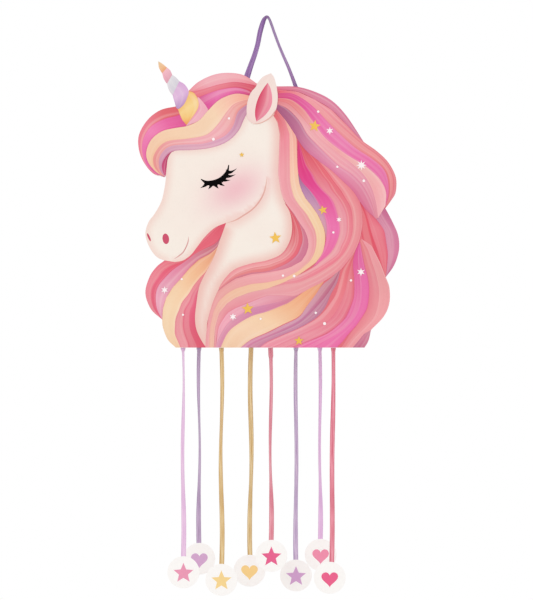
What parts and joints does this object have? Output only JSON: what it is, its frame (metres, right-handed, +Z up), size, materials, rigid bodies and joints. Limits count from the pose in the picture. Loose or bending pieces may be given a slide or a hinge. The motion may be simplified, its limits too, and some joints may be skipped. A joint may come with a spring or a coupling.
{
  "type": "pull-ribbon pinata",
  "caption": "Flat card pinata shaped as a unicorn head in profile, hung from a ribbon loop, with a trapdoor in its foot and hanging pull ribbons that end in round tags.",
  "frame": {"origin": "top of the hanging loop, where a hook or a line carries it", "axes": "+Z up along the hanging direction, the printed front faces -Y, the muzzle points to -X"},
  "size_m": [0.3265, 0.0856, 0.7272],
  "materials": {
    "white_card": "smooth matt white-coated card",
    "grey_card": "plain uncoated grey board",
    "print_paper": "satin-coated printed paper",
    "tag_card": "smooth white card, printed on both sides",
    "loop_satin": "woven satin ribbon",
    "knot_satin": "woven satin ribbon, knotted",
    "satin_1": "woven satin ribbon, pale pink",
    "satin_2": "woven satin ribbon, lilac",
    "satin_3": "woven satin ribbon, gold",
    "satin_4": "woven satin ribbon, old gold",
    "satin_5": "woven satin ribbon, rose",
    "satin_6": "woven satin ribbon, orchid",
    "satin_7": "woven satin ribbon, pale lilac",
    "satin_8": "woven satin ribbon, deep pink"
  },
  "bodies": {
    "box": {"front_panel": "white_card", "back_panel": "white_card", "front_print": "print_paper", "back_print": "print_paper", "wall_foot_left": "white_card", "wall_mane_left": "white_card", "wall_face": "white_card", "wall_forelock": "white_card", "wall_horn": "white_card", "wall_crown": "white_card", "wall_ear": "white_card", "wall_nape": "white_card", "wall_mane_high": "white_card", "wall_mane_mid": "white_card", "wall_mane_low": "white_card", "wall_foot_right": "white_card", "floor_panel": "white_card", "decoy_knots": "knot_satin", "hanging_ribbon": "loop_satin", "loop_pads": "grey_card", "loop_knots": "loop_satin"},
    "trapdoor": {"trapdoor": "white_card", "pull_patch": "grey_card", "pull_knot": "satin_5"},
    "fill_flap": {"fill_flap": "white_card", "fill_flap_print": "print_paper"},
    "ribbon_1": {"ribbon_1": "satin_1", "tag_front_1": "tag_card", "tag_back_1": "tag_card"},
    "ribbon_2": {"ribbon_2": "satin_2", "tag_front_2": "tag_card", "tag_back_2": "tag_card"},
    "ribbon_3": {"ribbon_3": "satin_3", "tag_front_3": "tag_card", "tag_back_3": "tag_card"},
    "ribbon_4": {"ribbon_4": "satin_4", "tag_front_4": "tag_card", "tag_back_4": "tag_card"},
    "ribbon_5": {"ribbon_5": "satin_5", "tag_front_5": "tag_card", "tag_back_5": "tag_card"},
    "ribbon_6": {"ribbon_6": "satin_6", "tag_front_6": "tag_card", "tag_back_6": "tag_card"},
    "ribbon_7": {"ribbon_7": "satin_7", "tag_front_7": "tag_card", "tag_back_7": "tag_card"},
    "ribbon_8": {"ribbon_8": "satin_8", "tag_front_8": "tag_card", "tag_back_8": "tag_card"}
  },
  "joints": [
    {"name": "trapdoor_hinge", "type": "hinge", "parent": "box", "child": "trapdoor", "pos_m": [0.004, 0.027, -0.417], "axis": [1, 0, 0], "range_deg": [0, 90]},
    {"name": "fill_flap_hinge", "type": "hinge", "parent": "box", "child": "fill_flap", "pos_m": [0.03, 0.0428, -0.235], "axis": [1, 0, 0], "range_deg": [0, 110]},
    {"name": "ribbon_1_swing", "type": "hinge", "parent": "box", "child": "ribbon_1", "pos_m": [-0.105, -0.034, -0.4173], "axis": [1, 0, 0], "range_deg": [-40, 1]},
    {"name": "ribbon_2_swing", "type": "hinge", "parent": "box", "child": "ribbon_2", "pos_m": [-0.0855, 0.034, -0.4173], "axis": [1, 0, 0], "range_deg": [-1, 40]},
    {"name": "ribbon_3_swing", "type": "hinge", "parent": "box", "child": "ribbon_3", "pos_m": [-0.057, -0.034, -0.4173], "axis": [1, 0, 0], "range_deg": [-40, 1]},
    {"name": "ribbon_4_swing", "type": "hinge", "parent": "box", "child": "ribbon_4", "pos_m": [-0.02, 0.034, -0.4173], "axis": [1, 0, 0], "range_deg": [-1, 40]},
    {"name": "ribbon_5_swing", "type": "hinge", "parent": "trapdoor", "child": "ribbon_5", "pos_m": [0.0045, -0.018, -0.4173], "axis": [1, 0, 0], "range_deg": [-90, 0]},
    {"name": "ribbon_6_swing", "type": "hinge", "parent": "box", "child": "ribbon_6", "pos_m": [0.0365, 0.034, -0.4173], "axis": [1, 0, 0], "range_deg": [-1, 40]},
    {"name": "ribbon_7_swing", "type": "hinge", "parent": "box", "child": "ribbon_7", "pos_m": [0.0665, 0.034, -0.4173], "axis": [1, 0, 0], "range_deg": [-1, 40]},
    {"name": "ribbon_8_swing", "type": "hinge", "parent": "box", "child": "ribbon_8", "pos_m": [0.082, -0.034, -0.4173], "axis": [1, 0, 0], "range_deg": [-40, 1]}
  ],
  "couplings": [
    {"joint": "ribbon_5_swing", "follows": "trapdoor_hinge", "ratio": -1}
  ]
}
